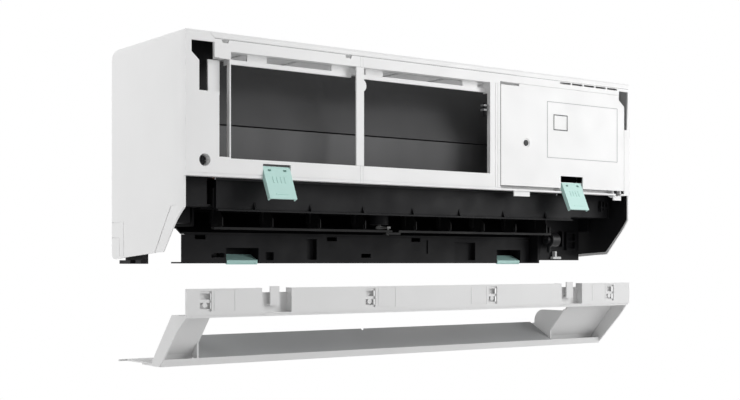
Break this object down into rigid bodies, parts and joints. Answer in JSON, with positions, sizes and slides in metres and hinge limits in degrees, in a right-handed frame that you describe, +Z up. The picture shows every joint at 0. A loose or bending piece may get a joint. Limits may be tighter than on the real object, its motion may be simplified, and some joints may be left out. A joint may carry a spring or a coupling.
{
  "type": "mini split indoor unit",
  "caption": "Wide wall unit, white casing round dark coils, with a latched bottom cover let down below it, a cross-flow fan and vertical vanes inside.",
  "frame": {"origin": "middle of the mounting plate's back face, on the wall", "axes": "+X to the right seen from the front, +Y into the wall, +Z up"},
  "size_m": [0.835, 0.2251, 0.432],
  "materials": {
    "casing_white": "satin",
    "label_line": "matt print",
    "button_grey": "matt",
    "board_green": "matt",
    "dark_parts": "matt",
    "galvanised": "dull zinc",
    "black_plastic": "satin",
    "coil_fins": "dark coated fins",
    "copper": "drawn tube",
    "brass": "turned",
    "fan_black": "matt",
    "steel": "bright",
    "black_steel": "black zinc",
    "motor_grey": "satin",
    "drive_white": "matt",
    "teal": "satin",
    "teal_dark": "satin",
    "cover_white": "satin",
    "floor_grey": "matt"
  },
  "bodies": {
    "unit": {"front_casing": "casing_white", "top_grille": "casing_white", "centre_divider": "casing_white", "service_cover": "casing_white", "control_box": "casing_white", "sensor_clip": "casing_white", "harness_clip": "casing_white", "label_plate": "label_line", "button_board": "board_green", "main_board": "board_green", "terminal_block": "dark_parts", "air_sensor": "dark_parts", "swing_motor": "dark_parts", "fan_bearing": "dark_parts", "louver_motor": "dark_parts", "mounting_plate": "galvanised", "coil_end_plates": "galvanised", "motor_clamp": "galvanised", "rear_chassis": "black_plastic", "drain_pan": "black_plastic", "lower_panel": "black_plastic", "right_end_housing": "black_plastic", "side_liners": "black_plastic", "bearing_holder": "black_plastic", "vane_rails": "black_plastic", "front_lower_coil": "coil_fins", "front_upper_coil": "coil_fins", "rear_coil": "coil_fins", "coil_bends": "copper", "refrigerant_pipes": "copper", "flare_nuts": "brass", "clamp_screws": "steel", "latch_pins": "steel", "casing_screws": "black_steel", "fan_motor": "motor_grey"},
    "fan": {"fan_wheel": "fan_black", "fan_stub_shaft": "steel", "fan_hub": "fan_black", "motor_shaft": "steel"},
    "crank": {"swing_crank": "drive_white"},
    "left_link": {"link_bar_left": "black_plastic"},
    "right_link": {"link_bar_right": "black_plastic"},
    "louver_hub": {"louver_drive": "dark_parts"},
    "latch_upper_left": {"upper_latch_left": "teal"},
    "latch_upper_right": {"upper_latch_right": "teal"},
    "latch_lower_left": {"lower_latch_left": "teal_dark"},
    "latch_lower_right": {"lower_latch_right": "teal_dark"},
    "button": {"push_button": "button_grey"},
    "cover": {"bottom_cover": "cover_white", "outlet_floor": "floor_grey", "cover_pocket": "cover_white"},
    "left_vane_1": {"vane_left_1": "black_plastic"},
    "left_vane_2": {"vane_left_2": "black_plastic"},
    "left_vane_3": {"vane_left_3": "black_plastic"},
    "left_vane_4": {"vane_left_4": "black_plastic"},
    "right_vane_1": {"vane_right_1": "black_plastic"},
    "right_vane_2": {"vane_right_2": "black_plastic"},
    "right_vane_3": {"vane_right_3": "black_plastic"},
    "right_vane_4": {"vane_right_4": "black_plastic"},
    "right_vane_5": {"vane_right_5": "black_plastic"}
  },
  "joints": [
    {"name": "fan_spin", "type": "hinge", "parent": "unit", "child": "fan", "pos_m": [0, -0.08, -0.047], "axis": [1, 0, 0], "continuous": true},
    {"name": "vane_slide", "type": "slide", "parent": "unit", "child": "left_link", "axis": [1, 0, 0], "range_m": [-0.00916, 0.00916]},
    {"name": "right_link_slide", "type": "slide", "parent": "unit", "child": "right_link", "axis": [1, 0, 0], "range_m": [-0.0095, 0.0095]},
    {"name": "crank_turn", "type": "hinge", "parent": "unit", "child": "crank", "pos_m": [-0.04978, -0.131, -0.094], "axis": [0, 0, 1], "range_deg": [-25.5, 25.5]},
    {"name": "louver_turn", "type": "hinge", "parent": "unit", "child": "louver_hub", "pos_m": [0.32, -0.115, -0.128], "axis": [1, 0, 0], "range_deg": [0, 100]},
    {"name": "left_vane_1_turn", "type": "hinge", "parent": "unit", "child": "left_vane_1", "pos_m": [-0.33, -0.131, -0.094], "axis": [0, 0, 1], "range_deg": [-26, 26]},
    {"name": "left_vane_2_turn", "type": "hinge", "parent": "unit", "child": "left_vane_2", "pos_m": [-0.25126, -0.131, -0.094], "axis": [0, 0, 1], "range_deg": [-26, 26]},
    {"name": "left_vane_3_turn", "type": "hinge", "parent": "unit", "child": "left_vane_3", "pos_m": [-0.17252, -0.131, -0.094], "axis": [0, 0, 1], "range_deg": [-26, 26]},
    {"name": "left_vane_4_turn", "type": "hinge", "parent": "unit", "child": "left_vane_4", "pos_m": [-0.09378, -0.131, -0.094], "axis": [0, 0, 1], "range_deg": [-26, 26]},
    {"name": "right_vane_1_turn", "type": "hinge", "parent": "unit", "child": "right_vane_1", "pos_m": [0.00022, -0.131, -0.094], "axis": [0, 0, 1], "range_deg": [-26, 26]},
    {"name": "right_vane_2_turn", "type": "hinge", "parent": "unit", "child": "right_vane_2", "pos_m": [0.06791, -0.131, -0.094], "axis": [0, 0, 1], "range_deg": [-26, 26]},
    {"name": "right_vane_3_turn", "type": "hinge", "parent": "unit", "child": "right_vane_3", "pos_m": [0.13561, -0.131, -0.094], "axis": [0, 0, 1], "range_deg": [-26, 26]},
    {"name": "right_vane_4_turn", "type": "hinge", "parent": "unit", "child": "right_vane_4", "pos_m": [0.2033, -0.131, -0.094], "axis": [0, 0, 1], "range_deg": [-26, 26]},
    {"name": "right_vane_5_turn", "type": "hinge", "parent": "unit", "child": "right_vane_5", "pos_m": [0.271, -0.131, -0.094], "axis": [0, 0, 1], "range_deg": [-26, 26]},
    {"name": "upper_latch_left_turn", "type": "hinge", "parent": "unit", "child": "latch_upper_left", "pos_m": [-0.277, -0.202, -0.043], "axis": [1, 0, 0], "range_deg": [-20, 24]},
    {"name": "lower_latch_left_turn", "type": "hinge", "parent": "unit", "child": "latch_lower_left", "pos_m": [-0.256, -0.0637, -0.1565], "axis": [1, 0, 0], "range_deg": [-12, 30]},
    {"name": "upper_latch_right_turn", "type": "hinge", "parent": "unit", "child": "latch_upper_right", "pos_m": [0.277, -0.202, -0.043], "axis": [1, 0, 0], "range_deg": [-20, 24]},
    {"name": "lower_latch_right_turn", "type": "hinge", "parent": "unit", "child": "latch_lower_right", "pos_m": [0.256, -0.0637, -0.1565], "axis": [1, 0, 0], "range_deg": [-12, 30]},
    {"name": "button_press", "type": "slide", "parent": "unit", "child": "button", "axis": [0, 1, 0], "range_m": [0, 0.0015], "stiffness_N_per_m": 250},
    {"name": "cover_lift", "type": "slide", "parent": "unit", "child": "cover", "axis": [0, 0, 1], "range_m": [0, 0.143]}
  ],
  "couplings": [
    {"joint": "right_link_slide", "follows": "vane_slide", "ratio": 1},
    {"joint": "crank_turn", "follows": "vane_slide", "rad_per_m": 47.619},
    {"joint": "left_vane_1_turn", "follows": "vane_slide", "rad_per_m": 47.619},
    {"joint": "left_vane_2_turn", "follows": "vane_slide", "rad_per_m": 47.619},
    {"joint": "left_vane_3_turn", "follows": "vane_slide", "rad_per_m": 47.619},
    {"joint": "left_vane_4_turn", "follows": "vane_slide", "rad_per_m": 47.619},
    {"joint": "right_vane_1_turn", "follows": "vane_slide", "rad_per_m": 47.619},
    {"joint": "right_vane_2_turn", "follows": "vane_slide", "rad_per_m": 47.619},
    {"joint": "right_vane_3_turn", "follows": "vane_slide", "rad_per_m": 47.619},
    {"joint": "right_vane_4_turn", "follows": "vane_slide", "rad_per_m": 47.619},
    {"joint": "right_vane_5_turn", "follows": "vane_slide", "rad_per_m": 47.619}
  ]
}
